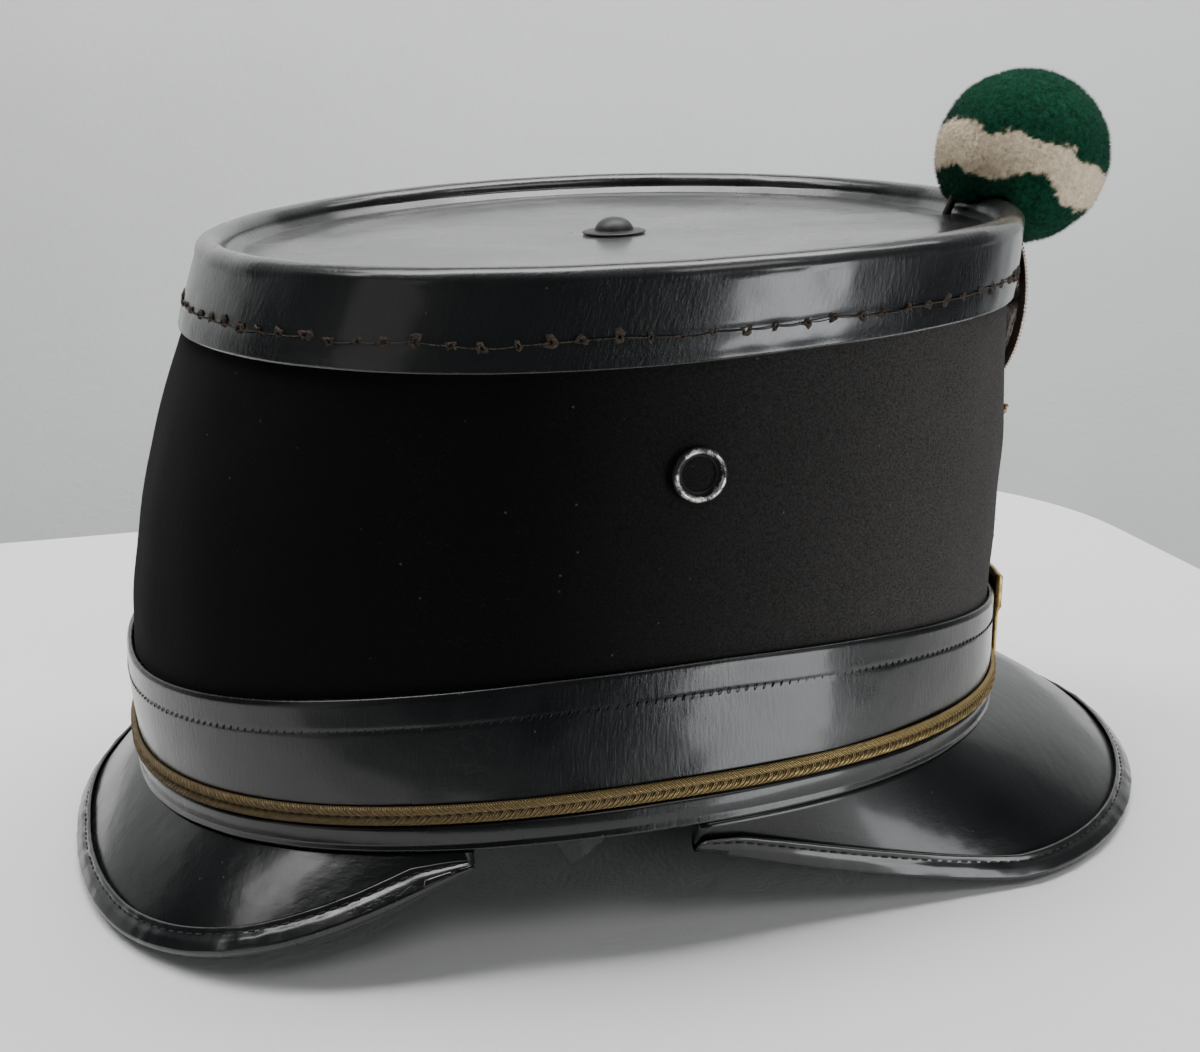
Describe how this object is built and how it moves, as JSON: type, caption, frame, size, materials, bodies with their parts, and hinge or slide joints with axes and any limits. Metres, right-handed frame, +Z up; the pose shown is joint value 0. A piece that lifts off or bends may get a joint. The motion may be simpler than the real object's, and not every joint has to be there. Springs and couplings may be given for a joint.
{
  "type": "shako hat",
  "caption": "Tall black felt shako with a leather cap and bands, patent front and rear peaks, gold braid, a metal cockade, a crossed rifle badge and a green wool pompom.",
  "frame": {"origin": "on the floor, below the middle of the hat's length and width", "axes": "+X to the front of the hat, where the pompom and the larger peak are, +Y to its left side, +Z up"},
  "size_m": [0.2714, 0.1738, 0.1762],
  "materials": {
    "black_felt": "matt stiffened wool felt",
    "cap_leather": "satin black leather",
    "patent_leather": "glossy black patent",
    "grey_leather": "dull worn leather",
    "gold_braid": "antique gold metal thread",
    "brass": "worn polished brass",
    "bronze": "dull dark bronze",
    "coppered_metal": "worn coppered metal",
    "worn_paint": "chipped black paint",
    "steel_wire": "plain wire",
    "green_wool": "cut wool pile with a cream band"
  },
  "bodies": {
    "root": {"felt_body": "black_felt", "crown_cap": "cap_leather", "top_button": "worn_paint", "lower_band": "patent_leather", "bottom_binding": "patent_leather", "gold_braid": "gold_braid", "front_peak": "patent_leather", "front_peak_binding": "patent_leather", "rear_peak": "patent_leather", "rear_peak_binding": "patent_leather", "eyelet_right": "worn_paint", "eyelet_left": "worn_paint", "cockade": "coppered_metal", "rifle_badge": "bronze", "lower_badge": "brass", "pompom": "green_wool", "pompom_pin": "steel_wire", "leather_tab": "grey_leather"}
  },
  "joints": []
}
